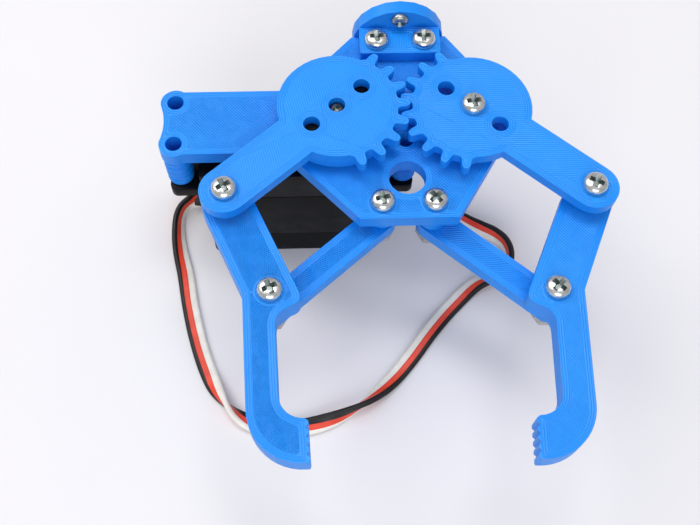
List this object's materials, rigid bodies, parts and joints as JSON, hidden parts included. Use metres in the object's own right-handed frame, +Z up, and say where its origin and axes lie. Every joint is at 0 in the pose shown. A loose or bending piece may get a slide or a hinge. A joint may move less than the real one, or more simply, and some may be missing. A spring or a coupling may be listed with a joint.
{
  "type": "servo gripper for a robot arm",
  "caption": "Two-finger parallel gripper for a desktop robot arm: printed blue claw with meshed gear arms on a palm plate, driven by a servo with a three-wire lead.",
  "frame": {"origin": "centre of the servo's bottom face, on the surface that the gripper stands on", "axes": "+Z up, +Y towards the wrist flange, so the jaws open towards -Y; +X to the right seen from above with the jaws at the front"},
  "size_m": [0.0991, 0.128, 0.0508],
  "materials": {
    "blue_plastic": "printed in layers, semi-gloss bright blue",
    "black_plastic": "satin black",
    "black_rubber": "soft matte",
    "zinc_fastener": "bright zinc plate",
    "motor_steel": "plain steel can",
    "servo_brass": "machined",
    "white_nylon": "moulded",
    "circuit_board": "solder mask",
    "lead_wire": "three insulated wires side by side: black, red and white"
  },
  "bodies": {
    "base": {"palm_plate": "blue_plastic", "wrist_bracket": "blue_plastic", "wrist_screw": "zinc_fastener", "left_bracket_screw": "zinc_fastener", "left_bracket_nut": "zinc_fastener", "right_bracket_screw": "zinc_fastener", "right_bracket_nut": "zinc_fastener", "right_gear_pivot_screw": "zinc_fastener", "right_gear_pivot_nut": "zinc_fastener", "left_link_pivot_screw": "zinc_fastener", "left_link_pivot_spacer": "blue_plastic", "left_link_pivot_nut": "zinc_fastener", "right_link_pivot_screw": "zinc_fastener", "right_link_pivot_spacer": "blue_plastic", "right_link_pivot_nut": "zinc_fastener", "servo_bottom_case": "black_plastic", "servo_middle_case": "black_plastic", "servo_top_case": "black_plastic", "servo_motor": "motor_steel", "servo_control_board": "circuit_board", "servo_position_sensor": "black_plastic", "standoff_left_front": "blue_plastic", "standoff_left_rear": "blue_plastic", "standoff_right_front": "blue_plastic", "standoff_right_rear": "blue_plastic", "servo_mount_screw_left_front": "zinc_fastener", "servo_mount_screw_left_rear": "zinc_fastener", "servo_mount_screw_right_front": "zinc_fastener", "servo_mount_screw_right_rear": "zinc_fastener", "lead_grommet": "black_rubber", "servo_lead": "lead_wire", "servo_lead_coil": "lead_wire", "lead_connector": "black_plastic"},
    "left_arm": {"left_gear_arm": "blue_plastic", "left_arm_pivot_screw": "zinc_fastener", "left_arm_pivot_spacer": "zinc_fastener", "left_arm_pivot_nut": "zinc_fastener", "servo_horn": "black_plastic", "servo_horn_screw": "motor_steel", "servo_output_shaft": "servo_brass"},
    "left_jaw": {"left_finger": "blue_plastic", "left_finger_pivot_screw": "zinc_fastener", "left_finger_pivot_spacer": "blue_plastic", "left_finger_pivot_nut": "zinc_fastener"},
    "left_link": {"left_link": "blue_plastic"},
    "right_arm": {"right_gear_arm": "blue_plastic", "right_arm_pivot_screw": "zinc_fastener", "right_arm_pivot_spacer": "zinc_fastener", "right_arm_pivot_nut": "zinc_fastener"},
    "right_jaw": {"right_finger": "blue_plastic", "right_finger_pivot_screw": "zinc_fastener", "right_finger_pivot_spacer": "blue_plastic", "right_finger_pivot_nut": "zinc_fastener"},
    "right_link": {"right_link": "blue_plastic"},
    "servo_idler": {"servo_idler_wheel": "white_nylon"},
    "servo_pinion": {"servo_motor_pinion": "servo_brass"}
  },
  "joints": [
    {"name": "left_gear_turn", "type": "hinge", "parent": "base", "child": "left_arm", "pos_m": [0.01015, 0, 0.0471], "axis": [0, 0, 1], "range_deg": [-13, 45]},
    {"name": "right_gear_turn", "type": "hinge", "parent": "base", "child": "right_arm", "pos_m": [0.03915, 0, 0.0459], "axis": [0, 0, 1], "range_deg": [-45, 13]},
    {"name": "left_jaw_pivot", "type": "hinge", "parent": "left_arm", "child": "left_jaw", "pos_m": [-0.01312, -0.02002, 0.04105], "axis": [0, 0, 1], "range_deg": [-45, 13]},
    {"name": "right_jaw_pivot", "type": "hinge", "parent": "right_arm", "child": "right_jaw", "pos_m": [0.06243, -0.02002, 0.03885], "axis": [0, 0, 1], "range_deg": [-13, 45]},
    {"name": "left_link_pivot", "type": "hinge", "parent": "base", "child": "left_link", "pos_m": [0.01915, -0.0203, 0.03405], "axis": [0, 0, 1], "range_deg": [-13, 45]},
    {"name": "right_link_pivot", "type": "hinge", "parent": "base", "child": "right_link", "pos_m": [0.03015, -0.0203, 0.03285], "axis": [0, 0, 1], "range_deg": [-45, 13]},
    {"name": "servo_idler_turn", "type": "hinge", "parent": "base", "child": "servo_idler", "pos_m": [-0.00115, 0, 0.031], "axis": [0, 0, 1], "range_deg": [-121, 36]},
    {"name": "servo_pinion_turn", "type": "hinge", "parent": "base", "child": "servo_pinion", "pos_m": [-0.01045, 0, 0.031], "axis": [0, 0, 1], "range_deg": [-178, 604]}
  ],
  "couplings": [
    {"joint": "right_gear_turn", "follows": "left_gear_turn", "ratio": -1},
    {"joint": "left_jaw_pivot", "follows": "left_gear_turn", "ratio": -1},
    {"joint": "right_jaw_pivot", "follows": "left_gear_turn", "ratio": 1},
    {"joint": "left_link_pivot", "follows": "left_gear_turn", "ratio": 1},
    {"joint": "right_link_pivot", "follows": "left_gear_turn", "ratio": -1},
    {"joint": "servo_idler_turn", "follows": "left_gear_turn", "ratio": -2.6667},
    {"joint": "servo_pinion_turn", "follows": "left_gear_turn", "ratio": 13.333}
  ]
}
